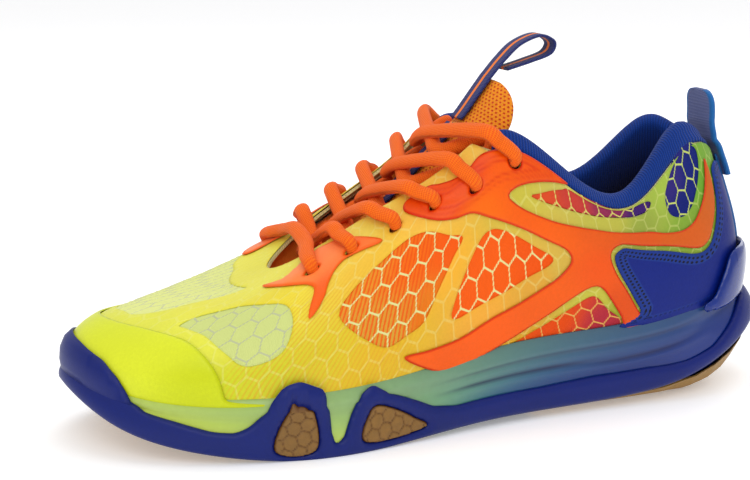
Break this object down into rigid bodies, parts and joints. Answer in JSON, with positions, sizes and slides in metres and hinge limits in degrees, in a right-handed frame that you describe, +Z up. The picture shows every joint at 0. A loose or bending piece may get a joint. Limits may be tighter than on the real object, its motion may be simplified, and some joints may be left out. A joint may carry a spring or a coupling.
{
  "type": "court shoe",
  "caption": "Low indoor court shoe for the left foot: mesh upper with fused overlays, padded collar, laced throat, tongue, foam midsole and gum rubber tread.",
  "frame": {"origin": "middle of the shoe's plan on the ground under the tread", "axes": "+X towards the heel, +Y towards the inner (medial) side of this left shoe, +Z up; the toe points along -X"},
  "size_m": [0.2967, 0.1092, 0.15],
  "materials": {
    "gum_rubber": "matte gum rubber",
    "plate": "satin",
    "midsole_skin": "satin painted foam",
    "blue_rubber": "satin rubber",
    "cradle_gloss": "glossy translucent",
    "board": "non-woven",
    "sock_fabric": "brushed",
    "mesh_knit": "hexagon mesh",
    "yellow_film": "satin fused film",
    "neon_film": "satin fused film",
    "orange_film": "satin fused film",
    "salmon_film": "satin fused film",
    "blue_film": "satin stitched film",
    "webbing": "woven tape",
    "counter_plastic": "moulded",
    "foam": "open foam",
    "collar_knit": "ribbed knit",
    "tongue_mesh": "open mesh",
    "lace_cord": "braided",
    "aglet_film": "clear film"
  },
  "bodies": {
    "root": {"aglet_lateral": "aglet_film", "aglet_medial": "aglet_film", "collar_binding": "collar_knit", "collar_foam": "foam", "collar_lining": "collar_knit", "eyestay_backing_lateral": "board", "eyestay_backing_medial": "board", "heel_counter": "counter_plastic", "heel_cradle": "cradle_gloss", "heel_foxing": "blue_film", "heel_strap": "webbing", "lace": "lace_cord", "lace_tail_lateral": "lace_cord", "lace_tail_medial": "lace_cord", "lateral_lace_strap": "salmon_film", "lateral_wing": "orange_film", "medial_collar_panel": "yellow_film", "medial_lace_strap": "salmon_film", "midsole": "midsole_skin", "outsole_forefoot": "gum_rubber", "outsole_heel": "gum_rubber", "shank_plate": "plate", "skin_film": "yellow_film", "sockliner": "sock_fabric", "sole_wrap": "blue_rubber", "strobel_board": "board", "toe_cap": "neon_film", "toe_puff": "board", "tongue": "tongue_mesh", "tongue_webbing": "webbing", "tread_pod_lateral_front": "gum_rubber", "tread_pod_lateral_rear": "gum_rubber", "tread_pod_medial": "gum_rubber", "upper_shell": "mesh_knit"},
    "tongue_flap": {"tongue_flap": "tongue_mesh", "flap_webbing": "webbing"},
    "tongue_loop": {"tongue_loop": "webbing"},
    "heel_tab": {"heel_tab": "webbing"}
  },
  "joints": [
    {"name": "tongue_flap_fold", "type": "hinge", "parent": "root", "child": "tongue_flap", "pos_m": [0.01666, 0.0045, 0.1165], "axis": [0, -1, 0], "range_deg": [0, 45], "stiffness_Nm_per_rad": 0.02},
    {"name": "tongue_loop_fold", "type": "hinge", "parent": "tongue_flap", "child": "tongue_loop", "pos_m": [0.0305, 0.005, 0.1341], "axis": [0, -1, 0], "range_deg": [-15, 45], "stiffness_Nm_per_rad": 0.002},
    {"name": "heel_tab_fold", "type": "hinge", "parent": "root", "child": "heel_tab", "pos_m": [0.1264, 0.001, 0.1033], "axis": [0, 1, 0], "range_deg": [-12, 45], "stiffness_Nm_per_rad": 0.01}
  ]
}
